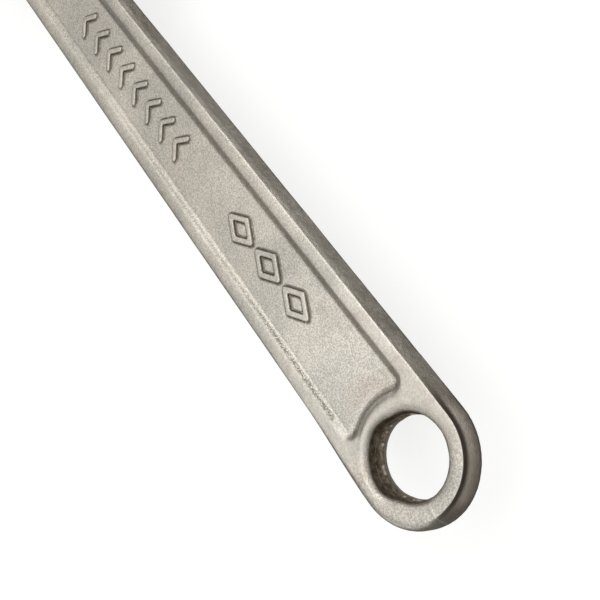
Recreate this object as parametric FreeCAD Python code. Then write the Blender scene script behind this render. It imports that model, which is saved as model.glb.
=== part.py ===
"""Heavy-duty pipe wrench, nominal 200 mm (8 in), as an assembly of eight separate pieces.

The wrench lies on its side. The origin is the centre of the hang hole, on the mid-plane of the forging.
+X runs along the handle to the jaws, +Y is the side that the jaws open to, and +Z is across the
thickness.
All sizes are in millimetres. At rest the jaws stand rest_gap apart.
"""

import FreeCAD
import Part

import math
import os

V = FreeCAD.Vector
X_AXIS = V(1, 0, 0)
Y_AXIS = V(0, 1, 0)
Z_AXIS = V(0, 0, 1)

# Handle bar
end_r = 10.0  # half width at the parting line, at the hang hole
side_draft = 1.4  # how far each side leans in from the parting line to the rim face
rim_z = 2.3  # half thickness over the rims
width_taper = 0.0102  # loss of half width per millimetre towards the jaws
bore_r = 6.0
bore_round = 0.55
neck_x = 114.0  # where the bar starts to thicken into the head, on its centreline
neck_slant = 0.85  # how far that line runs towards the jaws per millimetre towards +Y

# Panel sunk in each side of the bar
panel_depth = 0.8
rim_w = 2.0  # flat top of each rim
panel_wall = 1.1  # plan width of the sloping wall
panel_corner_r = 0.8
panel_over = 1.0  # how far the panel runs past the neck line, along its slant

# Raised marks in the panel: a row of chevrons and a row of lozenges
mark_h = 0.5
mark_line = 0.9
chevron_mid = 31.0  # from the neck line to the middle of the row
chevron_pitch = 4.9
chevron_count = 8
chevron_size = (2.0, 4.2)
lozenge_x = 37.3  # middle of the row
lozenge_pitch = 8.1
lozenge_count = 3
lozenge_size = (6.2, 3.7)

# Hook jaw shank and its thread
shank_y = -18.0
shank_w = 12.0
shank_t = 8.0
thread_pitch = 2.5
thread_depth = 1.15
thread_crest = 0.75
thread_root = 1.45
thread_clear = 0.2

# Adjusting nut
nut_r = 9.4
nut_h = 9.0
nut_play = 0.6
nut_lobes = 26
nut_groove_r = 0.8
nut_chamfer = 0.9

# Head of the handle
head_z = 7.6
head_rear_y = -29.0
head_front_y = 12.6
lug_start = -0.6  # underside of the lower guide lug, from the neck line
lug_len = 8.4
loop_len = 10.8
window_clear_y = 0.8
slip = 0.15  # clearance on the side a spring pushes the shank to
side_clear = 0.35
rock_deg = 3.0

# Heel jaw and its pin
heel_len = 22.4
heel_rear_y = -9.3
heel_z = 6.4
heel_rise = 5.2  # tooth tips above the cheeks
tenon_z = 3.4
tenon_depth = 7.2
tenon_clear = 0.12
heel_pin_r = 1.5
heel_pin_y = 2.5
heel_pin_drop = 3.6

# Hook jaw head
rest_gap = 14.0
closed_gap = 1.0
open_gap = 34.0
hook_z = 6.4
hook_depth = 15.0
hook_tip_y = 13.6
hook_bulge = 1.8  # how far the back stands out behind the shank
throat_r = 3.0
tooth_pitch = 2.0
tooth_depth = 1.0

# Springs
leaf_t = 0.6
leaf_w = 4.6
leaf_len = 9.4
rivet_r = 1.1
rivet_head_r = 2.0
coil_r = 2.5
coil_wire_r = 0.38
coil_turns = 5.0
coil_clear = 0.35
coil_pocket_depth = 6.6

# Worked out from the sizes above
thread_r = shank_w / 2
lug_x = neck_x + lug_start
window_lo = lug_x + lug_len
nut_x = window_lo + nut_play + nut_h / 2  # middle of the nut, about which the hook jaw rocks
window_hi = nut_x + nut_h / 2 + nut_play
loop_top_x = window_hi + loop_len  # top of the loop and of the heel jaw's cheeks
heel_tip_x = loop_top_x + heel_rise
hook_tip_x = heel_tip_x + rest_gap
shank_rear = shank_y - shank_w / 2
shank_front = shank_y + shank_w / 2
travel_open = open_gap - rest_gap
travel_close = rest_gap - closed_gap
tail_x = window_lo - 3.0 - travel_open
thread_hi = window_hi + travel_close + 1.5
back_limit = shank_rear - hook_bulge - 2
head_lo = loop_top_x + travel_close + 0.6  # lowest that the wide part of the hook jaw may reach at rest


def poly(points, z=0.0):
    """A closed face in the XY plane."""
    pts = [V(x, y, z) for x, y in points]
    return Part.Face(Part.makePolygon(pts + [pts[0]]))


def slab(points, half):
    """The polygon, extruded from -half to half along Z."""
    return poly(points, -half).extrude(V(0, 0, 2 * half))


def box(x0, x1, y0, y1, z0, z1):
    return Part.makeBox(x1 - x0, y1 - y0, z1 - z0, V(x0, y0, z0))


def save(name, shape):
    solids = shape.Solids
    if not all(s.isValid() for s in solids):
        raise ValueError(name + " isn't valid")
    result = solids[0] if len(solids) == 1 else Part.makeCompound(solids)
    result.exportStep(os.path.join("parts", name + ".step"))
    print(f"{name}: {len(solids)} solid, {result.Volume:.1f} mm3")
    return result


def round_edges(shape, radius, chosen):
    """The shape with the chosen edges filleted."""
    edges = [e for e in shape.Edges if chosen(e)]
    return shape.makeFillet(radius, edges) if edges else shape


def half_width(x):
    return end_r - width_taper * x


# ---------------------------------------------------------------- handle


def bar_outline(inset, z, length):
    """The bar's outline at height z, drawn in by inset: round at the hang hole, square at the jaws."""
    r = end_r - inset
    top = half_width(length) - inset
    a, b = V(0, -r, z), V(0, r, z)
    c, d = V(length, top, z), V(length, -top, z)
    end = Part.Arc(b, V(-r, 0, z), a).toShape()
    return Part.Wire([Part.LineSegment(a, d).toShape(), Part.LineSegment(d, c).toShape(),
                      Part.LineSegment(c, b).toShape(), end])


def drafted_bar():
    """Two mirrored halves whose sides lean in from the parting line."""
    length = window_lo + 4.0
    half = Part.makeLoft([bar_outline(0, 0, length), bar_outline(side_draft, rim_z, length)], True, True)
    return half.fuse(half.mirror(V(0, 0, 0), Z_AXIS)).removeSplitter()


def panel_outline(grow, z):
    """The panel's outline at height z: sides that follow the bar and an end concentric with the hang hole."""
    boss = end_r - side_draft + panel_wall - grow
    y0 = end_r - side_draft - rim_w - panel_wall + grow
    corner = panel_corner_r + grow
    yc = y0 - corner
    xc = math.sqrt((boss + corner) ** 2 - yc ** 2)
    on_boss = V(xc, yc, 0) * (boss / (boss + corner))
    out = V(-xc / (boss + corner), 1 - yc / (boss + corner), 0).normalize()
    bend = V(xc, yc, 0) + out * corner
    end_x = neck_x + panel_over
    near, far = end_x - neck_slant * y0, end_x + neck_slant * y0
    points = [V(on_boss.x, -on_boss.y), V(boss, 0), on_boss, bend, V(xc, y0),
              V(far + grow, half_width(far) - end_r + y0), V(near + grow, end_r - half_width(near) - y0),
              V(xc, -y0), V(bend.x, -bend.y)]
    for p in points:
        p.z = z
    lower, boss_mid, upper, bend_up, side_up, far_up, far_low, side_low, bend_low = points
    return Part.Wire([
        Part.Arc(lower, boss_mid, upper).toShape(),
        Part.Arc(upper, bend_up, side_up).toShape(),
        Part.LineSegment(side_up, far_up).toShape(),
        Part.LineSegment(far_up, far_low).toShape(),
        Part.LineSegment(far_low, side_low).toShape(),
        Part.Arc(side_low, bend_low, lower).toShape(),
    ])


def panel_pocket():
    """The sunk panel with its sloping wall, carried on above the rims."""
    floor = rim_z - panel_depth
    low = Part.makeLoft([panel_outline(0, floor), panel_outline(panel_wall, rim_z)], True, True)
    lift = Part.Face(panel_outline(panel_wall, rim_z)).extrude(V(0, 0, head_z))
    return low.fuse(lift)


def stroke(points, width, height):
    """A raised line of the given width through the points, with round ends and joints."""
    parts = []
    for (x0, y0), (x1, y1) in zip(points, points[1:]):
        length = math.hypot(x1 - x0, y1 - y0)
        bar = Part.makeBox(length, width, height, V(0, -width / 2, 0))
        bar.rotate(V(0, 0, 0), Z_AXIS, math.degrees(math.atan2(y1 - y0, x1 - x0)))
        bar.translate(V(x0, y0, 0))
        parts.append(bar)
    parts += [Part.makeCylinder(width / 2, height, V(x, y, 0)) for x, y in points]
    return parts


def chevron_mark(height):
    """A row of raised chevrons that point to the jaws."""
    made = []
    length, width = chevron_size
    for i in range(chevron_count):
        x = neck_x - chevron_mid + (i - (chevron_count - 1) / 2) * chevron_pitch
        made += stroke([(x - length / 2, -width / 2), (x + length / 2, 0), (x - length / 2, width / 2)],
                       mark_line, height)
    return made


def lozenge_mark(height):
    """A row of raised lozenge outlines."""
    made = []
    a, b = lozenge_size[0] / 2, lozenge_size[1] / 2
    for i in range(lozenge_count):
        x = lozenge_x + (i - (lozenge_count - 1) / 2) * lozenge_pitch
        loop = [(x - a, 0), (x, -b), (x + a, 0), (x, b), (x - a, 0)]
        made += stroke(loop, mark_line, height)
    return made


def head_outline():
    """The head seen from the side, with the neck, which starts inside the bar and flares out of it."""
    x0 = neck_x - 8
    rear = [(x0, side_draft - half_width(x0)), (lug_x - 2.5, 0.6 - half_width(lug_x)),
            (lug_x + 1, shank_front - 0.2), (lug_x + 1, head_rear_y), (loop_top_x - 3.5, head_rear_y)]
    top = [(loop_top_x, head_rear_y + 3.5), (loop_top_x, head_front_y - 1.5)]
    front = [(loop_top_x - 1.5, head_front_y), (loop_top_x - 9.5, head_front_y),
             (loop_top_x - 15.5, half_width(0) + 0.7), (neck_x + 10.5, half_width(neck_x)),
             (neck_x + 6, half_width(neck_x) - side_draft), (x0, half_width(x0) - side_draft)]
    return rear + top + front


def head_block():
    """The head, thickening out of the bar in an S curve across the slanted neck line."""
    x0, x1, far = neck_x - 40, neck_x + 13, loop_top_x + 40
    curve = Part.BezierCurve()
    mid = (neck_x + x1) / 2
    curve.setPoles([V(neck_x, 0, rim_z), V(mid, 0, rim_z), V(mid, 0, head_z), V(x1, 0, head_z)])
    corners = [V(x1, 0, head_z), V(far, 0, head_z), V(far, 0, 0), V(x0, 0, 0), V(x0, 0, rim_z),
               V(neck_x, 0, rim_z)]
    sides = [Part.LineSegment(p, q).toShape() for p, q in zip(corners, corners[1:])]
    face = Part.Face(Part.Wire([curve.toShape()] + sides))
    rear, front = head_rear_y - 1, head_front_y + 1
    face.translate(V(neck_slant * rear, rear, 0))
    thick = face.extrude(V(neck_slant * (front - rear), front - rear, 0))
    thick = thick.fuse(thick.mirror(V(0, 0, 0), Z_AXIS)).removeSplitter()
    block = slab(head_outline(), head_z + 1).common(thick)
    return block.fuse(lower_lug()).common(edge_limits()).removeSplitter()


def lower_lug():
    """The lower guide lug, with its underside bevelled."""
    section = [(head_rear_y, head_z), (-10, head_z), (-4, rim_z), (-4, -rim_z), (-10, -head_z),
               (head_rear_y, -head_z)]
    face = Part.Face(Part.makePolygon([V(lug_x, y, z) for y, z in section + section[:1]]))
    lug = face.extrude(V(window_lo - lug_x, 0, 0))
    under = [e for e in lug.Edges if e.BoundBox.XMax < lug_x + 0.01 and e.BoundBox.YMax < -9]
    return lug.makeChamfer(1.6, under)


def edge_limits():
    """A bar along X that takes the corners off the head's rear and front edges."""
    y0, y1, c = head_rear_y, head_front_y, 2.0
    half = [(y0, 0), (y0, head_z - 2 * c), (y0 + c, head_z),
            (y1 - c, head_z), (y1, head_z - 1.4 * c), (y1, 0)]
    section = half + [(y, -z) for y, z in reversed(half)][1:-1]
    face = Part.Face(Part.makePolygon([V(neck_x - 60, y, z) for y, z in section + section[:1]]))
    return face.extrude(V(120, 0, 0))


def build_handle():
    """The one-piece forging: hang hole, panelled bar, lug, nut window, loop and heel jaw seat."""
    body = drafted_bar().fuse(head_block()).removeSplitter()
    pocket = panel_pocket()
    body = body.cut(pocket).cut(pocket.mirror(V(0, 0, 0), Z_AXIS))

    front_clear = 1.0
    lower = box(lug_x - 12, window_lo + 1, shank_rear - slip, shank_front + front_clear,
                -shank_t / 2 - side_clear, shank_t / 2 + side_clear)
    upper = box(window_hi - 1, loop_top_x + 1, shank_rear - 1.6, shank_front + slip,
                -shank_t / 2 - side_clear, shank_t / 2 + side_clear)
    window = box(window_lo, window_hi, head_rear_y - 1, shank_y + nut_r + window_clear_y,
                 -head_z - 1, head_z + 1)
    front = [e for e in window.Edges if e.BoundBox.YMin > shank_y and e.BoundBox.ZLength > head_z]
    window = window.makeFillet(1.2, front)
    leaf_slot = box(window_hi - 1, loop_top_x + 1, shank_rear - 1.6 - leaf_t - 0.1, shank_rear,
                    -leaf_w / 2 - 0.3, leaf_w / 2 + 0.3)
    rivet_hole = Part.makeCylinder(rivet_r, 10, V(leaf_rivet_x(), head_rear_y - 1, 0), Y_AXIS)
    coil_pocket = Part.makeCylinder(coil_r + coil_clear, coil_pocket_depth + front_clear + 2,
                                    V(coil_x(), shank_front + front_clear - 2, 0), Y_AXIS)
    seat = box(loop_top_x - tenon_depth - tenon_clear, loop_top_x + 1,
               heel_rear_y - tenon_clear, head_front_y + 1,
               -tenon_z - tenon_clear, tenon_z + tenon_clear)
    pin_hole = Part.makeCylinder(heel_pin_r, 2 * head_z + 2,
                                 V(loop_top_x - heel_pin_drop, heel_pin_y, -head_z - 1))
    for tool in (lower, upper, window, leaf_slot, rivet_hole, coil_pocket, seat, pin_hole):
        body = body.cut(tool)

    bore = Part.makeCylinder(bore_r, 2 * rim_z + 2, V(0, 0, -rim_z - 1))
    body = body.cut(bore)
    body = round_edges(body, bore_round, is_bore_rim)

    floor = rim_z - panel_depth
    raised = chevron_mark(mark_h + 0.3) + lozenge_mark(mark_h + 0.3)
    for m in raised:
        m.translate(V(0, 0, floor - 0.3))
    flipped = [m.copy() for m in raised]
    for m in flipped:
        m.rotate(V(0, 0, 0), X_AXIS, 180)
    body = body.multiFuse(raised + flipped)
    return body.removeSplitter()


def is_bore_rim(e):
    return (isinstance(e.Curve, Part.Circle) and abs(e.Curve.Radius - bore_r) < 1e-6
            and abs(abs(e.Curve.Center.z) - rim_z) < 1e-6 and abs(e.Curve.Center.x) < 1e-6)


# ---------------------------------------------------------------- heel jaw


def tooth_line(x, y_from, y_to, rise, lean):
    """A row of saw teeth between two ends. rise is +1 or -1 for teeth that point along +X or -X."""
    n = max(1, int(round(abs(y_to - y_from) / tooth_pitch)))
    step = (y_to - y_from) / n
    points = [(x - rise * tooth_depth, y_from)]
    for i in range(n):
        y = y_from + i * step
        points.append((x, y + step * lean))
        points.append((x - rise * tooth_depth, y + step))
    return points


def build_heel_jaw():
    """The replaceable lower jaw: a toothed block on a tenon."""
    front = heel_rear_y + heel_len
    teeth = tooth_line(heel_tip_x, heel_rear_y + 1.0, front - 0.8, 1, 0.3)
    head = slab([(loop_top_x, heel_rear_y), (heel_tip_x - 1.6, heel_rear_y)] + teeth +
                [(heel_tip_x - 2.2, front), (loop_top_x, front)], heel_z)
    under = [e for e in head.Edges if e.BoundBox.XMax < loop_top_x + 0.1 and e.BoundBox.YLength > 5]
    head = head.makeChamfer(0.5, under)
    tenon = box(loop_top_x - tenon_depth, loop_top_x + 0.5, heel_rear_y, front - 1.2, -tenon_z, tenon_z)
    jaw = head.fuse(tenon).removeSplitter()
    hole = Part.makeCylinder(heel_pin_r, 2 * tenon_z + 2,
                             V(loop_top_x - heel_pin_drop, heel_pin_y, -tenon_z - 1))
    return jaw.cut(hole)


def build_heel_jaw_pin():
    """A straight pin through the cheeks and the heel jaw's tenon."""
    length = 2 * head_z - 0.4
    pin = Part.makeCylinder(heel_pin_r, length, V(loop_top_x - heel_pin_drop, heel_pin_y, -length / 2))
    return pin.makeChamfer(0.25, [e for e in pin.Edges if isinstance(e.Curve, Part.Circle)])


# ---------------------------------------------------------------- thread


def thread_profile(angle, grow, r_in, r_out):
    """The thread's section in the plane at that angle round the Z axis, widened by grow on each flank."""
    wide, narrow = thread_root / 2 + grow, thread_crest / 2 + grow
    z = thread_pitch * angle / (2 * math.pi)
    c, s = math.cos(angle), math.sin(angle)
    pts = [V(r_in * c, r_in * s, z - wide), V(r_out * c, r_out * s, z - narrow),
           V(r_out * c, r_out * s, z + narrow), V(r_in * c, r_in * s, z + wide)]
    return Part.makePolygon(pts + [pts[0]])


def helical_bar(a0, a1, grow, r_in, r_out):
    """A stretch of thread from angle a0 to a1, round the Z axis. It is at height 0 where the angle is 0."""
    turn = a1 - a0
    spine = Part.makeHelix(thread_pitch, thread_pitch * turn / (2 * math.pi), r_in)
    spine.rotate(V(0, 0, 0), Z_AXIS, math.degrees(a0))
    spine.translate(V(0, 0, thread_pitch * a0 / (2 * math.pi)))
    return Part.Wire(spine.Edges).makePipeShell([thread_profile(a0, grow, r_in, r_out)], True, True)


def lay_along_x(shape, x):
    """Turns a shape made round the Z axis so that its axis is the shank's, with height 0 at x."""
    shape.rotate(V(0, 0, 0), Y_AXIS, 90)
    shape.translate(V(x, shank_y, 0))
    return shape


# ---------------------------------------------------------------- hook jaw


def hook_profile():
    """The hook jaw's head: a smooth back and crown, a blunt nose, the teeth and a rounded throat."""
    top, back = hook_tip_x + hook_depth, shank_rear - hook_bulge
    crown = [V(head_lo, shank_rear), V(head_lo + 6, shank_rear - hook_bulge * 0.55),
             V(hook_tip_x + 5, back),
             V(top - 3.2, back + 5.2), V(top - 0.1, back + 14), V(top - 0.2, shank_front + 6),
             V(top - 2.2, hook_tip_y - 7.5), V(top - 5.2, hook_tip_y - 1.8),
             V(hook_tip_x + 7.4, hook_tip_y)]
    curve = Part.BSplineCurve()
    curve.interpolate(crown)
    throat_x, throat_y = hook_tip_x + tooth_depth - throat_r, shank_front + throat_r
    nose = [(hook_tip_x + 7.4, hook_tip_y), (hook_tip_x + 2.2, hook_tip_y)]
    teeth = tooth_line(hook_tip_x, hook_tip_y - 1.0, throat_y + 0.6, -1, 0.7)
    straight = [V(x, y, 0) for x, y in nose + teeth + [(throat_x + throat_r, throat_y)]]
    lines = [Part.LineSegment(p, q).toShape() for p, q in zip(straight, straight[1:])]
    turn = throat_r * math.sqrt(0.5)
    throat = Part.Arc(V(throat_x + throat_r, throat_y, 0), V(throat_x + turn, throat_y - turn, 0),
                      V(throat_x, throat_y - throat_r, 0))
    rest = [Part.LineSegment(V(throat_x, shank_front, 0), V(head_lo, shank_front, 0)).toShape(),
            Part.LineSegment(V(head_lo, shank_front, 0), V(head_lo, shank_rear, 0)).toShape()]
    return Part.Face(Part.Wire([curve.toShape()] + lines + [throat.toShape()] + rest))


def build_hook_jaw():
    """The upper jaw: toothed hook, flat shank, and a thread on the two narrow edges of the shank."""
    face = hook_profile()
    face.translate(V(0, 0, -hook_z))
    head = face.extrude(V(0, 0, 2 * hook_z))
    head = round_edges(head, 1.2, lambda e: isinstance(e.Curve, Part.BSplineCurve))
    slope = [(head_lo - 0.1, shank_t / 2), (head_lo + 3.4, hook_z + 0.1), (head_lo - 0.1, hook_z + 0.1)]
    for side in (1, -1):
        wedge = Part.Face(Part.makePolygon([V(x, back_limit, side * z) for x, z in slope + slope[:1]]))
        head = head.cut(wedge.extrude(V(0, 30, 0)))
    body_lo = thread_hi
    plain = box(body_lo, hook_tip_x + 4, shank_rear, shank_front, -shank_t / 2, shank_t / 2)
    core_r = thread_r - thread_depth
    core = lay_along_x(Part.makeCylinder(core_r, thread_hi - tail_x + 0.5), tail_x)
    flat = box(tail_x - 5, thread_hi + 5, shank_rear - 1, shank_front + 1, -shank_t / 2, shank_t / 2)
    core = core.common(flat)
    tail = lay_along_x(Part.makeCone(core_r - 1.0, core_r + 0.2, 1.6), tail_x - 1.2).common(flat)
    ridges = []
    reach = math.asin(shank_t / 2 / core_r) + 0.12
    turns = int((thread_hi - tail_x) / thread_pitch) + 1
    for centre in (math.pi / 2, -math.pi / 2):
        ridge = helical_bar(centre - reach, centre + reach, 0, core_r - 0.25, thread_r)
        for i in range(-turns, turns + 1):
            x = nut_x + i * thread_pitch
            shift = thread_pitch * centre / (2 * math.pi)
            if x + shift - thread_root < tail_x or x + shift + thread_root > thread_hi + 0.4:
                continue
            one = lay_along_x(ridge.copy(), x)
            ridges.append(one.common(flat))
    jaw = head.fuse([plain, core, tail] + ridges).removeSplitter()
    return jaw


# ---------------------------------------------------------------- nut


def build_nut():
    """The adjusting nut: a thread that clears the shank's by thread_clear, and a grooved grip."""
    blank = Part.makeCylinder(nut_r, nut_h)
    blank = blank.makeChamfer(nut_chamfer, [e for e in blank.Edges if isinstance(e.Curve, Part.Circle)])
    for i in range(nut_lobes):
        a = 2 * math.pi * i / nut_lobes
        c = V((nut_r + 0.15) * math.cos(a), (nut_r + 0.15) * math.sin(a), -1)
        blank = blank.cut(Part.makeCylinder(nut_groove_r, nut_h + 2, c))
    bore = thread_r - thread_depth + 0.3
    blank = blank.cut(Part.makeCylinder(bore, nut_h + 2, V(0, 0, -1)))
    mouth = Part.makeCone(thread_r + 0.6, bore, thread_r + 0.6 - bore)
    blank = blank.cut(mouth).cut(mouth.mirror(V(0, 0, nut_h / 2), Z_AXIS))
    turns = nut_h / thread_pitch + 2
    groove = helical_bar(-math.pi * turns, math.pi * turns, thread_clear, bore - 0.4, thread_r + 0.25)
    blank.translate(V(0, 0, -nut_h / 2))
    return lay_along_x(blank.cut(groove), nut_x)


# ---------------------------------------------------------------- springs


def leaf_rivet_x():
    return window_hi + 2.6


def coil_x():
    return (lug_x + window_lo) / 2


def build_leaf_spring():
    """A bowed strip inside the loop: flat where it is riveted, its free end against the shank's back."""
    x0 = window_hi + 0.5
    root_y = shank_rear - 1.6 - leaf_t / 2 - 0.05
    tip_y = shank_rear - leaf_t / 2 - 0.06
    bend_x = x0 + 4.4
    x1 = x0 + leaf_len
    front = leaf_t / 2
    path = Part.BezierCurve()
    path.setPoles([V(bend_x, root_y, 0), V(bend_x + 2.4, root_y, 0), V(x1 - 2.6, tip_y, 0),
                   V(x1, tip_y - 0.12, 0)])
    steps = 12
    curve = [path.value(i / steps) for i in range(steps + 1)]
    upper = [V(x0, root_y + front, 0)] + [V(p.x, p.y + front, 0) for p in curve]
    lower = [V(x0, root_y - front, 0)] + [V(p.x, p.y - front, 0) for p in curve]
    side_a = Part.BSplineCurve()
    side_a.interpolate(upper[1:])
    side_b = Part.BSplineCurve()
    side_b.interpolate(lower[1:])
    wire = Part.Wire([Part.LineSegment(upper[0], upper[1]).toShape(), side_a.toShape(),
                      Part.LineSegment(upper[-1], lower[-1]).toShape(), side_b.toShape(),
                      Part.LineSegment(lower[1], lower[0]).toShape(),
                      Part.LineSegment(lower[0], upper[0]).toShape()])
    face = Part.Face(Part.Wire(Part.__sortEdges__(wire.Edges)))
    face.translate(V(0, 0, -leaf_w / 2))
    strip = face.extrude(V(0, 0, leaf_w))
    hole = Part.makeCylinder(rivet_r + 0.05, 4, V(leaf_rivet_x(), root_y - 2, 0), Y_AXIS)
    return strip.cut(hole)


def build_leaf_rivet():
    """A rivet through the loop's rear strap, with a domed head outside and a flat one on the leaf."""
    inner = shank_rear - 1.6 - 0.05
    outer = head_rear_y
    stem = Part.makeCylinder(rivet_r, inner - outer, V(leaf_rivet_x(), outer, 0), Y_AXIS)
    head = Part.makeCylinder(rivet_r + 0.55, 0.35, V(leaf_rivet_x(), inner, 0), Y_AXIS)
    dome_r = 2.6
    drop = math.sqrt(dome_r ** 2 - rivet_head_r ** 2)
    dome = Part.makeSphere(dome_r, V(leaf_rivet_x(), outer + drop, 0))
    keep = box(leaf_rivet_x() - 4, leaf_rivet_x() + 4, outer - 4, outer, -4, 4)
    return stem.fuse([head, dome.common(keep)]).removeSplitter()


def build_coil_spring():
    """A compression spring in the pocket in front of the shank, just clear of the thread at rest."""
    length = coil_pocket_depth + 1.0 - 2 * coil_wire_r - 0.2
    pitch = length / coil_turns
    spine = Part.makeHelix(pitch, length, coil_r - coil_wire_r)
    start = V(coil_r - coil_wire_r, 0, 0)
    circle = Part.Wire([Part.Circle(start, V(0, math.cos(math.atan2(pitch, 2 * math.pi * coil_r)),
                                              math.sin(math.atan2(pitch, 2 * math.pi * coil_r))),
                                    coil_wire_r).toShape()])
    coil = Part.Wire(spine.Edges).makePipeShell([circle], True, True)
    coil.rotate(V(0, 0, 0), X_AXIS, -90)
    coil.translate(V(coil_x(), shank_front + coil_wire_r + 0.1, 0))
    return coil


def main():
    os.makedirs("parts", exist_ok=True)
    save("handle", build_handle())
    save("heel_jaw", build_heel_jaw())
    save("heel_jaw_pin", build_heel_jaw_pin())
    save("hook_jaw", build_hook_jaw())
    save("adjusting_nut", build_nut())
    save("leaf_spring", build_leaf_spring())
    save("leaf_spring_rivet", build_leaf_rivet())
    save("coil_spring", build_coil_spring())
    print(f"jaw slide {-travel_close:.1f} to {travel_open:.1f} mm")
    print(f"jaw rock 0 to {rock_deg:.1f} degrees about x {nut_x:.2f}, y {shank_y:.2f}")


main()
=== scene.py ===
"""Looks of the 200 mm pipe wrench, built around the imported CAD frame.

The frame is in metres. The sculpting works in millimetres, on copies of the CAD nodes' meshes.
"""

import math
from types import SimpleNamespace

import bmesh
import bpy
import numpy as np
from mathutils import Matrix, Vector


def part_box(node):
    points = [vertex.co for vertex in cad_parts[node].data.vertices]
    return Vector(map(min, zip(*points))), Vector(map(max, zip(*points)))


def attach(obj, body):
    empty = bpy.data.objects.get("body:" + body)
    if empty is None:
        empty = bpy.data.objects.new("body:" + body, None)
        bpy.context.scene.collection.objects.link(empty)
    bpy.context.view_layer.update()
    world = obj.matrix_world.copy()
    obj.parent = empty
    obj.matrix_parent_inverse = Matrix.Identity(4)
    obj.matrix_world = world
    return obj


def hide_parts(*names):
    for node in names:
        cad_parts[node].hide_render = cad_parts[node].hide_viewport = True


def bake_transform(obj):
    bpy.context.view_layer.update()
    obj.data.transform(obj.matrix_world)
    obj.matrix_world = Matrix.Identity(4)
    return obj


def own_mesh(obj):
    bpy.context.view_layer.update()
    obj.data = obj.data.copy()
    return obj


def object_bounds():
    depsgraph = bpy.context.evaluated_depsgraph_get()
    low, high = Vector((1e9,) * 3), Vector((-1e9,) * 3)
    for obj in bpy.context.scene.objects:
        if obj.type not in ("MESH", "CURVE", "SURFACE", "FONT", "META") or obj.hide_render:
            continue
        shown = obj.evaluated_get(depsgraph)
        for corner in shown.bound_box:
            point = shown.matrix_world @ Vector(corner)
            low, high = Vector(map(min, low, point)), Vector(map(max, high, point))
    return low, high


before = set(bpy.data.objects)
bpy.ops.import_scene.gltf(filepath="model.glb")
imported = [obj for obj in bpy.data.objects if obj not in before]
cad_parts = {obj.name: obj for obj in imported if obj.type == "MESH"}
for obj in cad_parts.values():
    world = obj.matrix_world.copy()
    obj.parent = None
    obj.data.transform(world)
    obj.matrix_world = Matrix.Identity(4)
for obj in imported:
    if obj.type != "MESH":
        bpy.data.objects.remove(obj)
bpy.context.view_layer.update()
MM = 1000.0  # millimetres in a metre

# ---------------------------------------------------------------- mesh tools

WELD = 1e-7  # metres
BEND_GAIN = 6.0  # how strongly a bend of the surface shows in the hollow and ridge attributes
HASH = (374761393, 668265263, 2147483647, 1274126177)
HASH_MASK = 0xFFFFFFFF
NOISE_START, OCTAVE_RATIO, OCTAVE_SHIFT, OCTAVE_SEED = 91.7, 2.03, 13.1, 17


def read(items, attribute, width, kind=float):
    values = np.empty(len(items) * width, dtype=kind)
    items.foreach_get(attribute, values)
    return values.reshape(-1, width)


def points_of(mesh):
    return read(mesh.vertices, "co", 3) * MM


def edges_of(mesh):
    return read(mesh.edges, "vertices", 2, np.int64)


def normals_of(mesh):
    return read(mesh.vertices, "normal", 3)


def set_points(mesh, p):
    mesh.vertices.foreach_set("co", (p / MM).ravel())
    mesh.update()


def neighbour_mean(values, edges, count):
    """The mean of each point's neighbours, for an array of shape (n,) or (n, k)."""
    flat = values.reshape(count, -1)
    total = np.empty_like(flat)
    for k in range(flat.shape[1]):
        column = flat[:, k]
        total[:, k] = np.bincount(edges[:, 0], column[edges[:, 1]], count)
        total[:, k] += np.bincount(edges[:, 1], column[edges[:, 0]], count)
    degree = np.bincount(edges.ravel(), minlength=count)[:, None]
    return (total / np.maximum(degree, 1)).reshape(values.shape)


def smooth(p, edges, steps, weight=None):
    """Moves each point half way to its neighbours' mean, that many times, or less where weight is under 1."""
    for _ in range(steps):
        delta = (neighbour_mean(p, edges, len(p)) - p) * 0.5
        p = p + (delta if weight is None else delta * weight[:, None])
    return p


def lattice(ix, iy, iz, seed):
    """A repeatable pseudo-random number from 0 to 1 for each lattice point."""
    h = (ix * HASH[0] + iy * HASH[1] + iz * HASH[2] + seed * HASH[3]) & HASH_MASK
    h = ((h ^ (h >> 13)) * HASH[3]) & HASH_MASK
    h = (h ^ (h >> 16)) & HASH_MASK
    return h / HASH_MASK


def noise(p, size, seed, octaves):
    """Smooth value noise from -1 to 1 at the points p.

    size is the first octave's grain in millimetres, one number or one for each axis.
    """
    out, gain, total = np.zeros(len(p)), 1.0, 0.0
    q = p / np.asarray(size, float) + NOISE_START
    for octave in range(octaves):
        base = np.floor(q).astype(np.int64)
        f = q - base
        f = f * f * (3 - 2 * f)
        value = np.zeros(len(p))
        for corner in range(8):
            d = (corner & 1, corner >> 1 & 1, corner >> 2)
            w = 1.0
            for axis in range(3):
                w = w * (f[:, axis] if d[axis] else 1 - f[:, axis])
            cell = (base[:, axis] + d[axis] for axis in range(3))
            value += w * lattice(*cell, seed + octave * OCTAVE_SEED)
        out += gain * (2 * value - 1)
        total += gain
        gain *= 0.5
        q = q * OCTAVE_RATIO + OCTAVE_SHIFT
    return out / total


def step(x, low, high):
    """Rises smoothly from 0 at low to 1 at high."""
    t = np.clip((x - low) / (high - low), 0, 1)
    return t * t * (3 - 2 * t)


def fade(x, low, high):
    """Falls smoothly from 1 at low to 0 at high."""
    return 1 - step(x, low, high)


def bell(x, width):
    return np.exp(-(x / width) ** 2)


def unit(x):
    return np.clip(x, 0, 1)


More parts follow.
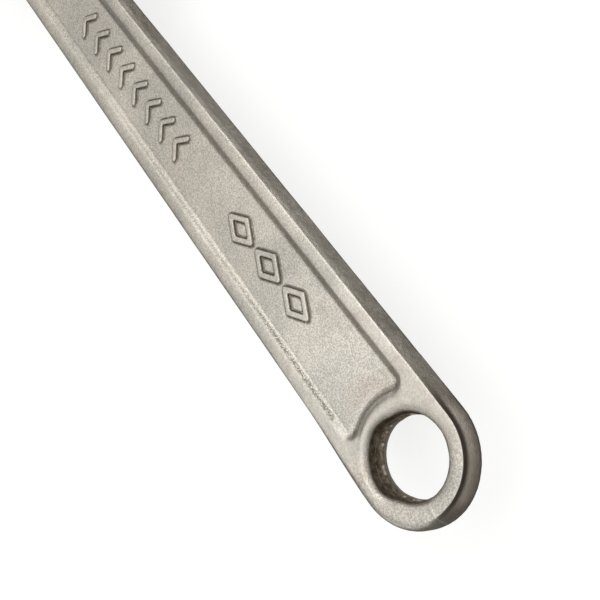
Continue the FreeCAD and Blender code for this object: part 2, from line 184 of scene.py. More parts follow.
def copy_of(node, name):
    """A welded copy of a CAD node's mesh, as a new object."""
    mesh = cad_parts[node].data.copy()
    bm = bmesh.new()
    bm.from_mesh(mesh)
    bmesh.ops.remove_doubles(bm, verts=bm.verts, dist=WELD)
    bm.to_mesh(mesh)
    bm.free()
    mesh.materials.clear()
    mesh.name = name
    obj = bpy.data.objects.new(name, mesh)
    bpy.context.scene.collection.objects.link(obj)
    return obj


def remesh(obj, voxel):
    """Even quads over the whole surface, with the voxel size in millimetres."""
    modifier = obj.modifiers.new("even", "REMESH")
    modifier.mode = "VOXEL"
    modifier.voxel_size = voxel * 1.0 / MM
    modifier.use_smooth_shade = True
    bpy.context.view_layer.update()
    depsgraph = bpy.context.evaluated_depsgraph_get()
    mesh = bpy.data.meshes.new_from_object(obj.evaluated_get(depsgraph))
    old = obj.data
    obj.modifiers.clear()
    obj.data = mesh
    mesh.name = obj.name
    bpy.data.meshes.remove(old)
    return obj


def shade_smooth(obj):
    obj.data.polygons.foreach_set("use_smooth", np.ones(len(obj.data.polygons), dtype=bool))
    obj.data.update()


def store(obj, name, values):
    """A named number for each vertex, for the materials to read."""
    layer = obj.data.attributes.new(name, "FLOAT", "POINT")
    layer.data.foreach_set("value", np.asarray(values, dtype=np.float32))


def cavity(obj):
    """Two attributes from the surface's bend: hollow, near inside corners, and ridge, near outside edges."""
    p, e, n = points_of(obj.data), edges_of(obj.data), normals_of(obj.data)
    bend = np.einsum("ij,ij->i", neighbour_mean(p, e, len(p)) - p, n)
    bend = bend / np.linalg.norm(p[e[:, 0]] - p[e[:, 1]], axis=1).mean()
    for _ in range(3):
        bend = 0.5 * bend + 0.5 * neighbour_mean(bend, e, len(p))
    store(obj, "hollow", unit(bend * BEND_GAIN))
    store(obj, "ridge", unit(-bend * BEND_GAIN))


# ---------------------------------------------------------------- materials


class Graph:
    """A short way to write a node tree. Sizes and positions are in millimetres."""

    def __init__(self, name):
        self.material = bpy.data.materials.new(name)
        self.material.use_nodes = True
        self.tree = self.material.node_tree
        self.shader = self.tree.nodes["Principled BSDF"]
        self.where = self.add("ShaderNodeTexCoord").outputs["Object"]

    def add(self, kind, inputs=None, **settings):
        node = self.tree.nodes.new(kind)
        for key, value in settings.items():
            setattr(node, key, value)
        for key, value in (inputs or {}).items():
            self.put(node.inputs[key], value)
        return node

    def put(self, socket, value):
        if isinstance(value, bpy.types.NodeSocket):
            self.tree.links.new(value, socket)
        else:
            socket.default_value = value

    def attribute(self, name):
        return self.add("ShaderNodeAttribute", attribute_name=name).outputs["Fac"]

    def ramp(self, value, low, high, out_low=0.0, out_high=1.0):
        limits = {"Value": value, "From Min": low, "From Max": high, "To Min": out_low, "To Max": out_high}
        return self.add("ShaderNodeMapRange", limits, interpolation_type="SMOOTHSTEP").outputs[0]

    def along(self, axis, low, high, out_low=0.0, out_high=1.0):
        """A ramp along X, Y or Z."""
        place = self.add("ShaderNodeSeparateXYZ", {"Vector": self.where}).outputs[axis]
        return self.ramp(place, low / MM, high / MM, out_low, out_high)

    def noise(self, size, detail=2.0, rough=0.5, stretch=None, twist=0.0):
        """Noise with a grain of that many millimetres, from 0 to 1."""
        where = self.where
        if stretch:
            where = self.add("ShaderNodeMapping", {"Vector": where, "Scale": stretch}).outputs[0]
        inputs = {"Vector": where, "Scale": MM / size, "Detail": detail, "Roughness": rough,
                  "Distortion": twist}
        return self.add("ShaderNodeTexNoise", inputs).outputs["Fac"]

    def patches(self, size, detail, rough, low, high, out_low=0.0, out_high=1.0, **how):
        """Noise with its contrast raised, so that it covers some places and leaves others."""
        return self.ramp(self.noise(size, detail, rough, **how), low, high, out_low, out_high)

    def math(self, operation, a, b):
        node = self.add("ShaderNodeMath", operation=operation)
        self.put(node.inputs[0], a)
        self.put(node.inputs[1], b)
        return node.outputs[0]

    def times(self, a, b):
        return self.math("MULTIPLY", a, b)

    def plus(self, value, mask, amount):
        """value with amount added where mask is 1."""
        return self.math("ADD", value, self.times(mask, amount))

    def mix(self, factor, a, b, blend="MIX"):
        node = self.add("ShaderNodeMix", data_type="RGBA", blend_type=blend)
        self.put(node.inputs[0], factor)
        self.put(node.inputs[6], a if isinstance(a, bpy.types.NodeSocket) else (*a, 1.0))
        self.put(node.inputs[7], b if isinstance(b, bpy.types.NodeSocket) else (*b, 1.0))
        return node.outputs[2]

    def tinted(self, colour, tint):
        return self.mix(1.0, colour, tint, "MULTIPLY")

    def cover(self, base, mask, amount, colour):
        """base with colour laid over it where mask is 1, by that amount."""
        return self.mix(self.times(mask, amount), base, colour)

    def speckle(self, base, grain, dark, light):
        """base with a grain from the tint dark to the tint light."""
        return self.mix(self.ramp(grain, 0.34, 0.66), self.tinted(base, dark), self.tinted(base, light))

    def dirt_and_shade(self, low, high, *patches):
        """A mask for dirt and painted shade in the hollows, broken up into patches."""
        return self.times(self.ramp(self.attribute("hollow"), low, high), self.patches(*patches))

    def bump(self, height, distance, strength=1.0, normal=None):
        """A bump whose height of 1 stands out by that distance."""
        inputs = {"Height": height, "Distance": distance / MM, "Strength": strength}
        if normal is not None:
            inputs["Normal"] = normal
        return self.add("ShaderNodeBump", inputs).outputs[0]

    def finish(self, **inputs):
        for key, value in inputs.items():
            self.put(self.shader.inputs[key.replace("_", " ")], value)
        return self.material


def rusty_bore(g):
    """Colour of the hang hole's wall: streaked rust, a bright line of flash, darker under the near mouth."""
    dark_rust, pale_rust = (0.088, 0.068, 0.044), (0.285, 0.244, 0.178)
    flash_metal, far_half = (0.720, 0.675, 0.590), (0.345, 0.315, 0.262)
    mouth_shade = (0.45, 0.42, 0.38)
    rust = g.mix(g.patches(0.8, 4.0, 0.70, 0.34, 0.66, stretch=(1.0, 1.0, 1.6)), dark_rust, pale_rust)
    rust = g.cover(rust, g.attribute("flash"), 0.85, flash_metal)
    rust = g.mix(g.along("Z", -0.6, 0.0, 0.75, 0.0), rust, far_half)
    return g.mix(g.along("Z", 0.3, 1.3), rust, g.tinted(rust, mouth_shade))


def forged_nickel():
    """Blasted and nickel-plated forging: sparkling grain, brownish clouds, a dull side and a rusty bore."""
    warm, cool, brown = (0.690, 0.655, 0.590), (0.572, 0.551, 0.496), (0.580, 0.510, 0.448)
    panel_end_painted_light, far_painted_shade, ring_light_falloff = (1.09, 1.09, 1.10), (0.970, 0.955, 0.945), (0.93, 0.92, 0.91)
    jaw_side_tint, wall_shade_tint = (0.93, 0.925, 0.92), (0.72, 0.71, 0.69)
    grain_dark, grain_light = (0.73, 0.73, 0.72), (1.29, 1.29, 1.29)
    dirt_and_shade, pit_dirt, flank_shade = (0.100, 0.086, 0.070), (0.170, 0.155, 0.125), (0.176, 0.142, 0.117)
    dull_dark, dull_light = (0.560, 0.520, 0.455), (0.730, 0.684, 0.600)
    lightened_edge, seam_metal = (0.770, 0.735, 0.675), (0.860, 0.835, 0.780)
    g = Graph("forged_nickel")
    side, bore, flank = g.attribute("side"), g.attribute("bore"), g.attribute("flank")

    # plating in two greys with brownish clouds, and painted light: a brighter pool over the panel's end,
    # brightest there, falling off over the ring and towards the jaws
    base = g.mix(g.patches(15.0, 3.0, 0.55, 0.38, 0.62), cool, warm)
    # painted light over the panel's end, painted shade towards the jaws and over the ring
    base = g.mix(g.along("X", 14, 52), g.tinted(base, panel_end_painted_light), g.tinted(base, far_painted_shade))
    base = g.mix(g.along("X", -1, 13), g.tinted(base, ring_light_falloff), base)
    jaw_side_rim = g.times(g.along("Y", 5.4, 6.8), g.along("X", 8, 20))
    base = g.mix(jaw_side_rim, base, g.tinted(base, jaw_side_tint))
    base = g.cover(base, g.patches(7.5, 4.0, 0.62, 0.50, 0.74), 0.70, brown)
    # blasted grain, weaker where the forging is calm
    speckled = g.speckle(base, g.noise(0.24, 3.0, 0.70), grain_dark, grain_light)
    base = g.mix(g.times(g.attribute("calm"), 0.54), speckled, base)
    # painted shade on the panel's steep walls
    base = g.mix(g.attribute("wall"), base, g.tinted(base, wall_shade_tint))
    # dirt and painted shade darken the hollows
    base = g.cover(base, g.dirt_and_shade(0.04, 0.50, 0.9, 3.0, 0.7, 0.15, 0.50), 0.80, dirt_and_shade)
    # drafted side, dull and smeared lengthwise, with painted shade on its flank round the ring
    smears = g.patches(2.6, 4.0, 0.6, 0.35, 0.65, stretch=(0.25, 1.0, 1.0))
    base = g.mix(side, base, g.mix(smears, dull_dark, dull_light))
    # painted shade on the ring's flank under the crease
    base = g.cover(base, flank, 0.82, flank_shade)
    # worn edges with a painted highlight along them, seam, pits and bore
    # edges lightened partly for wear and partly as a painted highlight along the creases
    edge_lightening = g.times(g.ramp(g.attribute("ridge"), 0.20, 0.70), g.patches(1.3, 3.0, 0.6, 0.30, 0.58))
    base = g.cover(base, edge_lightening, 0.35, lightened_edge)
    base = g.cover(base, g.attribute("seam"), 0.75, seam_metal)
    base = g.cover(base, g.times(g.attribute("pits"), g.patches(0.22, 2.0, 0.6, 0.38, 0.53)), 0.92, pit_dirt)
    base = g.mix(bore, base, rusty_bore(g))

    rough = g.plus(g.plus(g.patches(0.7, 3.0, 0.6, 0.3, 0.7, 0.27, 0.40), side, 0.06), bore, 0.25)
    blast = g.bump(g.noise(0.22, 3.0, 0.6), 0.050)
    normal = g.bump(g.noise(1.2, 2.0, 0.5), 0.060, 0.8, blast)
    return g.finish(Base_Color=base, Metallic=g.plus(1.0, bore, -0.35), Roughness=rough, Normal=normal)


def jaw_steel():
    """Darkened forged steel: scale, dirt and painted shade in the hollows, bright worn edges, scratches and
    hardening tints.
    """
    black, grey = (0.120, 0.114, 0.109), (0.215, 0.206, 0.194)
    grain_dark, grain_light = (0.68, 0.68, 0.68), (1.34, 1.34, 1.34)
    scale, dirt_and_shade = (0.062, 0.058, 0.056), (0.030, 0.027, 0.024)
    blue, straw = (0.190, 0.190, 0.225), (0.350, 0.275, 0.180)
    lightened_edge, scratched = (0.600, 0.580, 0.545), (0.430, 0.415, 0.395)
    cut_dark, cut_light = (0.340, 0.330, 0.315), (0.520, 0.508, 0.485)
    g = Graph("hardened_jaw_steel")
    machined = g.attribute("machined")
    grain = g.noise(0.32, 3.0, 0.70)
    base = g.mix(g.patches(8.0, 5.0, 0.62, 0.40, 0.62), black, grey)
    base = g.speckle(base, grain, grain_dark, grain_light)
    base = g.cover(base, g.patches(2.4, 5.0, 0.7, 0.56, 0.66), 0.55, scale)
    tint = g.mix(g.patches(3.0, 3.0, 0.6, 0.38, 0.64), blue, straw)
    base = g.cover(base, g.attribute("heat"), 0.75, tint)
    # dirt and painted shade darken the hollows
    base = g.cover(base, g.dirt_and_shade(0.10, 0.70, 1.1, 3.0, 0.7, 0.25, 0.60), 0.75, dirt_and_shade)
    edge_lightening = g.times(g.ramp(g.attribute("ridge"), 0.12, 0.55), g.patches(1.6, 3.0, 0.6, 0.34, 0.58))
    base = g.cover(base, edge_lightening, 0.90, lightened_edge)
    scratches = g.patches(0.9, 2.0, 0.5, 0.69, 0.73, stretch=(0.12, 2.6, 2.6), twist=0.4)
    base = g.cover(base, scratches, 0.55, scratched)
    mill_marks = g.patches(1.2, 3.0, 0.6, 0.35, 0.65, stretch=(7.0, 0.4, 1.0))
    base = g.cover(base, machined, 0.80, g.mix(mill_marks, cut_dark, cut_light))
    rough = g.plus(g.patches(0.9, 3.0, 0.6, 0.3, 0.7, 0.34, 0.56), machined, -0.10)
    normal = g.bump(grain, 0.050, 0.9, g.bump(g.noise(2.0, 4.0, 0.6), 0.110, 0.8))
    return g.finish(Base_Color=base, Metallic=1.0, Roughness=rough, Normal=normal)


def turned_steel(name, low, high, lay):
    """Drawn or turned steel: fine lines along one direction, an oil film and painted shade in the hollows,
    and bright edges.
    """
    oil_and_shade, bright_edge = (0.035, 0.031, 0.026), (0.700, 0.685, 0.655)
    shadow = tuple(0.55 * c for c in low)
    g = Graph(name)
    lines = g.noise(0.5, 4.0, 0.65, stretch=lay)
    base = g.mix(g.ramp(lines, 0.32, 0.68), low, high)
    base = g.cover(base, g.patches(4.0, 3.0, 0.6, 0.48, 0.70), 0.35, shadow)
    # oil film and painted shade darken the hollows
    base = g.cover(base, g.dirt_and_shade(0.12, 0.70, 0.9, 3.0, 0.7, 0.22, 0.58), 0.85, oil_and_shade)
    base = g.cover(base, g.ramp(g.attribute("ridge"), 0.18, 0.65), 0.60, bright_edge)
    rough = g.patches(0.8, 3.0, 0.6, 0.3, 0.7, 0.26, 0.42)
    normal = g.bump(lines, 0.015, 0.8, g.bump(g.noise(1.4, 2.0, 0.5), 0.030, 0.6))
    return g.finish(Base_Color=base, Metallic=1.0, Roughness=rough, Normal=normal)


def pale_floor():
    """Matt white paper, lit a little from below as in a light tent."""
    g = Graph("pale_floor")
    base = g.mix(g.patches(60.0, 4.0, 0.6, 0.3, 0.7), (0.215, 0.2145, 0.213), (0.226, 0.2255, 0.224))
    return g.finish(Base_Color=base, Roughness=0.9, Normal=g.bump(g.noise(1.5, 3.0, 0.6), 0.02, 0.4),
                    Emission_Color=(1.0, 0.998, 0.992, 1.0), Emission_Strength=0.80)


def place(obj, node, body, slot, material):
    obj.data.materials.clear()
    obj.data.materials.append(material)
    shade_smooth(obj)
    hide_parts(node)
    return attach(obj, body)


# ---------------------------------------------------------------- handle

HANDLE_VOXEL = 0.15
RIM_Z = 2.3  # half thickness over the rims
END_R = 10.0  # the ring's radius at the parting line
RIM_R = 8.6  # the radius of its flat face
BORE_R = 6.0
TAPER = 0.0102  # loss of half width per millimetre towards the jaws
NECK_SLANT = 0.85  # how far the neck line runs towards the jaws per millimetre towards +Y

# Where the bar turns into the head, as distances from the hang hole to the neck line
BAR_END, SIDE_END, HEAD_START = (108, 116), (110, 116), (114, 120)

# Faces. RIM_MID, CREASE_IN and PIT_LINE are measured in from the parting line
RIM_MID = 2.4
CROWN = 0.12  # how far a rim falls, one millimetre off its middle
TRENCH_R, TRENCH_HALF_W, TRENCH_DEPTH = 10.05, 0.50, 0.11
SHOULDER = 0.15  # how far the ring's face falls towards the panel's end wall
RING_FALL, RING_FALL_AT_BAR = 0.32, 0.42  # how far it falls towards the bore, and how much more at the bar
MOUTH = 0.75  # how far the hole's mouth opens
BAR_WAY, MOUTH_WAY = 0.45, 0.95  # directions in which the fall and the mouth are greatest, in radians

# Edges
FLANK_UPRIGHT = 0.37  # part of the ring's flank under its crease that stands upright
SOFT_R, SOFT_FLAT, SOFT_ROUND = 7.4, 0.9, 1.5  # where the soft edge starts, its flat start and its round
SOFT_ARC, SOFT_WALL, SOFT_RUN = 2.0, 0.99, 2.69  # lengths along the soft edge
WALL_H = 0.8  # height of the upright wall under it

# Roughness of the forging
WAVE_H, RIPPLE_H = 0.040, 0.014
CREASE_IN, CREASE_W, CREASE_H = 1.4, 0.24, 0.05
SKIN_H, FINE_SKIN_H = 0.06, 0.03
BORE_DRAFT, BORE_LEDGE = 0.10, 0.22  # the two halves of the hole don't quite meet
FLASH_Z, FLASH_W, FLASH_H, FLASH_VARIES = 0.05, 0.14, 0.10, 0.12
PIT_LINE, PIT_DEPTH = 3.75, 0.05
SEAM_ANGLE, SEAM_W, SEAM_H = math.atan2(2.2, -9.1), 0.11, 0.05


def rough_out(mesh):
    """The corners broken, most at the head and the panel's end wall. Returns what the features share."""
    e = edges_of(mesh)
    p = smooth(points_of(mesh), e, 2)
    neck = p[:, 0] - NECK_SLANT * p[:, 1]
    p = smooth(p, e, 8, step(neck, *HEAD_START))
    r = np.hypot(p[:, 0], p[:, 1])
    end_wall = step(p[:, 0], 1.5, 4.0) * step(r, 7.6, 8.2) * fade(r, 10.6, 11.4) * fade(p[:, 1], 5.4, 6.4)
    end_wall *= fade(-p[:, 1], 5.0, 6.0) * step(np.abs(p[:, 2]), 0.6, 1.0)
    p = smooth(p, e, 12, end_wall)
    set_points(mesh, p)
    x, y, z = p.T  # views, which follow each later change to p
    r = np.hypot(x, y)
    radial = np.stack([x / np.maximum(r, 1e-6), y / np.maximum(r, 1e-6), 0 * x], 1)
    half = END_R - TAPER * np.maximum(x, 0)
    return SimpleNamespace(p=p, n=normals_of(mesh), x=x, y=y, z=z, r=r, radial=radial, top=np.sign(z),
                           angle=np.arctan2(y, x), half=half, bar=fade(neck, *BAR_END))


def soften_faces(s):
    """Crowned rims, a trench at the foot of the end wall, and a ring that falls to the panel and the bore."""
    off = np.clip(np.abs(s.y) - (s.half - RIM_MID), -1.0, 1.1)
    crowned = s.bar * unit((np.abs(s.z) - 1.5) / 0.8) * step(np.abs(s.y), 4.8, 5.4)
    crowned = crowned * (0.5 * step(s.x, 0, 16) + 0.5 * step(s.x, 16, 42))
    s.z -= s.top * crowned * CROWN * off ** 2
    foot = bell(s.r - TRENCH_R, TRENCH_HALF_W) * (s.x > 0) * fade(np.abs(s.y), 4.6, 5.6)
    foot = foot * (np.abs(s.z) < 1.8)
    s.z -= s.top * foot * TRENCH_DEPTH

    at_bar = unit(np.cos(s.angle - BAR_WAY) * 1.4 + 0.25)
    on_face = step(np.abs(s.z), 1.0, 1.7)
    fall = np.clip((8.5 - s.r) / 2.2, 0, 1.15)
    mouth = unit(np.cos(s.angle - MOUTH_WAY) * 2.4 - 1.0) * np.where(s.z > 0, 1.0, 0.2)
    s.p += s.radial * (MOUTH * mouth * fall * unit(np.abs(s.z) / 2.2) ** 1.3)[:, None]
    s.z -= s.top * on_face * (RING_FALL + RING_FALL_AT_BAR * at_bar) * fall ** 3.3
    shoulder = unit((s.r - 7.5) / 1.1) * fade(s.r, 8.7, 9.7) * fade(np.abs(s.y), 3.6, 6.2) * (s.x > 0)
    s.z -= s.top * step(np.abs(s.z), 1.4, 1.9) * shoulder ** 2 * SHOULDER


def shape_edges(s):
    """The ring's outer edge: a steep flank under a crease, and a broad soft round on the jaw side."""
    t = unit(np.abs(s.z) / RIM_Z)
    at_end = s.x < 0
    around = np.where(s.angle < -1.5, s.angle + 2 * math.pi, s.angle)
    s.soft_end = np.where(at_end, fade(around, 2.50, 3.40), fade(s.x, 1.0, 17.0) * (s.y > 0))
    steep = step(s.r, 8.3, 8.6) * fade(s.x, -1.0, 6.5) * fade(np.abs(s.n[:, 2]), 0.80, 0.97)
    steep = steep * (1 - s.soft_end)
    out = (1 - t - FLANK_UPRIGHT) / (1 - FLANK_UPRIGHT)
    out = 0.5 * (out + np.sqrt(out ** 2 + 0.01))
    s.p += s.radial * ((RIM_R - END_R) * ((1 - out * (1.2 - 0.2 * out)) - t) * steep)[:, None]

    # run is the way along the soft edge: over the flat, round the arc and down an upright wall
    reach = np.where(at_end, s.r, s.y + TAPER * s.x)
    run = np.clip(reach - SOFT_R, 0, 1.2) + unit(1 - np.abs(s.z) / RIM_Z) * SOFT_RUN
    turn = unit((run - SOFT_FLAT) / SOFT_ARC) * math.pi / 2
    shift = SOFT_R + np.minimum(run, SOFT_FLAT) + SOFT_ROUND * np.sin(turn) - reach
    height = RIM_Z - SOFT_ROUND * (1 - np.cos(turn))
    height = height - WALL_H * unit((run - SOFT_FLAT - SOFT_ARC) / SOFT_WALL)
    soft = s.soft_end * step(reach, 7.3, 7.5)
    s.p += np.where(at_end[:, None], s.radial, np.array([0.0, 1.0, 0.0])) * (shift * soft)[:, None]
    s.z += soft * (s.top * height - s.z)


def roughen(s):
    """Gentle unevenness, a wobbling crease, the bore's coarse skin with its flash, pits and a seam."""
    wave = WAVE_H * noise(s.p, 9.0, 3, 2) + RIPPLE_H * noise(s.p, 2.2, 5, 2)
    s.p += s.n * (wave * (0.5 + 0.5 * s.bar))[:, None]
    crease = bell(np.abs(s.y) - (s.half - CREASE_IN), CREASE_W) * s.bar * step(np.abs(s.z), 1.6, 2.2)
    s.z -= s.top * crease * CREASE_H * unit(noise(s.p, (2.2, 3.0, 9.0), 11, 3))

    s.inside = fade(s.r, 6.25, 6.8) * fade(np.abs(s.z), 2.1, 2.3)
    s.unrolled = np.stack([BORE_R * s.angle, s.z, 0 * s.z], 1)
    skin = SKIN_H * noise(s.unrolled, (2.2, 0.9, 1.0), 21, 3)
    skin = skin + FINE_SKIN_H * noise(s.unrolled, (0.6, 0.35, 1.0), 23, 2)
    draft = BORE_DRAFT * (1 - np.abs(s.z) / RIM_Z) + BORE_LEDGE * step(-s.z, -0.1, 0.15)
    flash = FLASH_H + FLASH_VARIES * noise(s.unrolled, (1.1, 9.0, 1.0), 25, 2)
    flash = flash * bell(s.z - FLASH_Z, FLASH_W)
    s.p -= s.radial * (s.inside * (draft + flash + skin))[:, None]

    # pits along the panel's wall on the jaw side, densest near the hang hole
    line_y = (s.half - PIT_LINE) + 0.10 * noise(s.p, (5.0, 50.0, 50.0), 31, 2)
    extent = step(s.x, 11.0, 13.0) * (1 - 0.5 * step(s.x, 24, 45)) * (1 - 0.6 * step(s.x, 60, 100))
    s.pit_line = bell(s.y - line_y, 0.34 - 0.12 * step(s.x, 16, 45)) * extent * step(s.z, 1.2, 1.5)
    s.z -= PIT_DEPTH * (unit(noise(s.p, (0.40, 0.30, 3.0), 33, 2) * 1.8 + 0.45) * s.pit_line)

    across = s.x * math.sin(SEAM_ANGLE) - s.y * math.cos(SEAM_ANGLE) + 0.10 * noise(s.p, 1.2, 37, 2)
    along = s.x * math.cos(SEAM_ANGLE) + s.y * math.sin(SEAM_ANGLE)
    s.seam = bell(across, SEAM_W) * step(along, 6.6, 7.4) * step(s.z, -0.5, 0.3)
    s.p += s.n * (SEAM_H * s.seam)[:, None]


def store_masks(obj, s):
    """The attributes that the forging's material reads."""
    x, y, z = s.p.T
    flat = np.abs(normals_of(obj.data)[:, 2])
    r = np.hypot(x, y)
    out = np.maximum(np.abs(y), np.where(x < 2, r, 0))
    side = fade(flat, 0.62, 0.88) * step(out, s.half - 1.85, s.half - 1.35)
    side = side * fade(x - NECK_SLANT * y, *SIDE_END)
    wall = s.bar * fade(flat, 0.80, 0.96) * step(np.abs(z), 1.4, 1.6) * (out < s.half - 2.2) * (r > 8.3)
    calm = step(np.abs(z), 1.7, 2.0) * step(x - 0.5 * y, -3.0, 3.0) * (1 - 0.6 * step(x, 14, 40))
    spots = step(noise(s.unrolled, (0.8, 9.0, 1.0), 27, 2), 0.05, 0.30)
    store(obj, "side", side * (1 - 0.8 * s.soft_end))
    # where the ring's flank gets painted shade
    store(obj, "flank", side * fade(x, 0, 9) * (1 - s.soft_end))
    # where the panel's steep walls get painted shade, less at the jaw-side corner of the ring
    store(obj, "wall", wall * (1 - 0.6 * step(y, 4.5, 5.5) * step(r, 9.5, 11.0)))
    store(obj, "seam", s.seam)
    store(obj, "bore", s.inside * fade(s.r, 6.30, 6.55) * fade(np.abs(z), 1.4, 1.9))
    store(obj, "flash", bell(z - FLASH_Z, 0.15) * spots)
    store(obj, "pits", unit(s.pit_line * 1.2))
    store(obj, "calm", calm * (1 - side))


def sculpt_handle():
    """The forging: soft edges, crowned rims, a soft ring end, a rough bore with flash, pits and a seam."""
    obj = remesh(copy_of("handle", "handle_forging"), HANDLE_VOXEL)
    shape = rough_out(obj.data)
    soften_faces(shape)
    shape_edges(shape)
    roughen(shape)
    set_points(obj.data, shape.p)
    store_masks(obj, shape)
    cavity(obj)
    return place(obj, "handle", "handle", "handle_steel", forged_nickel())


# ---------------------------------------------------------------- jaws and small parts

JAW_VOXEL = 0.17
REST_GAP = 14.0  # between the jaws at rest
SHANK_Y = -12.2  # the shank's edge nearest the handle
SHANK_HALF_T = 4.1
JAW_WAVE_H, JAW_RIPPLE_H, NICK_H = 0.07, 0.035, 0.35
PART_WAVE_H = 0.015


def sculpt_jaw(node, name, body, tooth_x, facing, soft, material):
    """A forged jaw with machined teeth, which point along X times facing. soft is in smoothing steps."""
    obj = remesh(copy_of(node, name), JAW_VOXEL)
    mesh = obj.data
    p, e = points_of(mesh), edges_of(mesh)
    depth = (tooth_x - p[:, 0]) * facing
    teeth = fade(depth, 1.1, 1.9) * step(depth, -1.0, -0.5)
    p = smooth(smooth(p, e, 2), e, soft, 1 - teeth)
    set_points(mesh, p)
    n = normals_of(mesh)
    shank = 0 * depth
    if node == "hook_jaw":
        shank = fade(np.abs(p[:, 2]), SHANK_HALF_T, 4.6) * fade(p[:, 1], SHANK_Y, -11.4)
    forged = (1 - teeth) * (1 - shank)
    p += n * ((JAW_WAVE_H * noise(p, 7.0, 41, 2) + JAW_RIPPLE_H * noise(p, 1.8, 43, 3)) * forged)[:, None]
    nick = unit(noise(p, (1.5, 1.1, 1.5), 47, 2) - 0.25) * teeth * fade(depth, 0.2, 0.6)
    p[:, 0] -= facing * nick * NICK_H
    set_points(mesh, p)
    store(obj, "heat", fade(depth, 3.0, 7.5))
    store(obj, "machined", unit(teeth * fade(np.abs(n[:, 2]), 0.8, 0.97) + 0.75 * shank))
    cavity(obj)
    return place(obj, node, body, "jaw_steel", material)


def refine(node, name, voxel, steps, waver):
    """A small part with its edges broken and a skin that is uneven by waver millimetres."""
    obj = remesh(copy_of(node, name), voxel)
    p = smooth(points_of(obj.data), edges_of(obj.data), steps)
    set_points(obj.data, p)
    if waver:
        p += normals_of(obj.data) * (waver * noise(p, 1.3, 51, 2))[:, None]
        set_points(obj.data, p)
    cavity(obj)
    return obj


# ---------------------------------------------------------------- build

sculpt_handle()

heel_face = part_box("heel_jaw")[1][0] * MM
jaw_metal = jaw_steel()
sculpt_jaw("heel_jaw", "heel_jaw_block", "handle", heel_face, 1, 2, jaw_metal)
sculpt_jaw("hook_jaw", "hook_jaw_forging", "hook", heel_face + REST_GAP, -1, 4, jaw_metal)

nut_metal = turned_steel("turned_nut_steel", (0.330, 0.322, 0.308), (0.480, 0.470, 0.450), (0.3, 2.0, 2.0))
pin_metal = turned_steel("drawn_pin_steel", (0.300, 0.290, 0.275), (0.430, 0.420, 0.400), (2.0, 2.0, 0.4))
spring_metal = turned_steel("spring_steel", (0.170, 0.180, 0.200), (0.290, 0.300, 0.320), (0.4, 2.0, 2.0))

nut = refine("adjusting_nut", "adjusting_nut_turned", 0.14, 2, PART_WAVE_H)
place(nut, "adjusting_nut", "nut", "nut_steel", nut_metal)
pin = refine("heel_jaw_pin", "heel_jaw_pin_drawn", 0.09, 3, PART_WAVE_H)
place(pin, "heel_jaw_pin", "handle", "pin_steel", pin_metal)
rivet = refine("leaf_spring_rivet", "leaf_rivet_domed", 0.09, 3, PART_WAVE_H)
place(rivet, "leaf_spring_rivet", "handle", "pin_steel", pin_metal)

leaf = refine("leaf_spring", "leaf_spring_strip", 0.12, 2, 0)
leaf.data.materials.append(spring_metal)
shade_smooth(leaf)
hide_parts("leaf_spring")
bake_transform(leaf)

coil = refine("coil_spring", "coil_spring_wound", 0.09, 2, 0)
place(coil, "coil_spring", "handle", "spring_steel", spring_metal)
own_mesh(coil)

# ---------------------------------------------------------------- stage

FLOOR_HALF = 3.0  # metres, as are the lights' places and sizes
FLOOR_GAP = 0.0001

floor_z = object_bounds()[0][2] - FLOOR_GAP
corners = [(x * FLOOR_HALF, y * FLOOR_HALF, floor_z) for x, y in ((-1, -1), (1, -1), (1, 1), (-1, 1))]
floor_mesh = bpy.data.meshes.new("floor")
floor_mesh.from_pydata(corners, [], [(0, 1, 2, 3)])
floor_mesh.materials.append(pale_floor())
floor = bpy.data.objects.new("floor", floor_mesh)
bpy.context.scene.collection.objects.link(floor)
floor.visible_glossy = False


def area_light(name, where, target, size, power, glossy=True):
    data = bpy.data.lights.new(name, "AREA")
    data.energy = power
    data.shape = "RECTANGLE"
    data.size, data.size_y = size
    obj = bpy.data.objects.new(name, data)
    obj.location = where
    obj.rotation_euler = (Vector(target) - Vector(where)).to_track_quat("-Z", "Y").to_euler()
    obj.visible_glossy = glossy
    bpy.context.scene.collection.objects.link(obj)


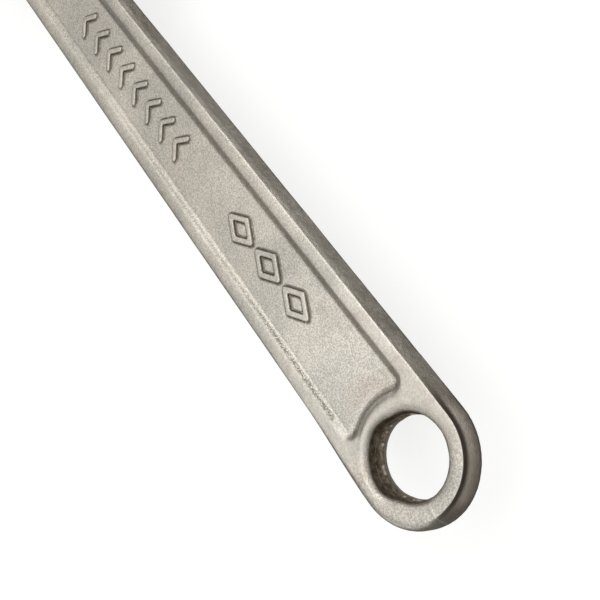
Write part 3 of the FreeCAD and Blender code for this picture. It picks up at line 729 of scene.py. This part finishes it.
area_light("key", (0.62, -0.70, 0.86), (0.04, 0.0, 0.0), (0.8, 0.8), 2.3)
area_light("low_fill", (-0.10, 1.20, 0.05), (0.0, 0.0, 0.0), (0.6, 0.3), 0.85)
area_light("diffuse_fill", (0.0, 0.0, 2.0), (0.0, 0.0, 0.0), (2.5, 2.5), 10.0, glossy=False)

# Studio walls, from the floor line at 0 to straight up at 1
WALL_FOOT, CEILING = (0.155, 0.149, 0.139, 1), (1.35, 1.335, 1.315, 1)
WALL_STOPS = ((0.15, 0.21), (0.38, 0.47), (0.56, 0.71), (0.72, 0.82), (0.86, 1.05))

world = bpy.data.worlds.new("studio")
bpy.context.scene.world = world
world.use_nodes = True
tree = world.node_tree
coord = tree.nodes.new("ShaderNodeTexCoord")
split = tree.nodes.new("ShaderNodeSeparateXYZ")
sky = tree.nodes.new("ShaderNodeValToRGB")
tree.links.new(coord.outputs["Generated"], split.inputs[0])
tree.links.new(split.outputs["Z"], sky.inputs[0])
tree.links.new(sky.outputs[0], tree.nodes["Background"].inputs[0])
stops = sky.color_ramp.elements
stops[0].position, stops[0].color = 0.0, WALL_FOOT
stops[1].position, stops[1].color = 1.0, CEILING
for position, value in WALL_STOPS:
    stops.new(position).color = (value, value * 0.99, value * 0.97, 1)
tree.nodes["Background"].inputs[1].default_value = 1.0

# ---------------------------------------------------------------- camera

camera_data = bpy.data.cameras.new("camera")
camera_data.sensor_width = 36.0
camera_data.lens = 66.0
camera_data.clip_start = 0.005
camera_data.clip_end = 20.0
camera = bpy.data.objects.new("camera", camera_data)
bpy.context.scene.collection.objects.link(camera)
camera_at = Vector((-0.048776, -0.069044, 0.124213))
right = Vector((-0.5227, -0.5595, -0.6432))
down = Vector((-0.7008, 0.7116, -0.0496))
ahead = Vector((0.4855, 0.4249, -0.7641))
turn = Matrix((right, -down, -ahead)).transposed()
camera.matrix_world = Matrix.Translation(camera_at) @ turn.to_4x4()
bpy.context.scene.camera = camera
bpy.context.scene.view_settings.view_transform = "Standard"
bpy.context.scene.view_settings.look = "None"
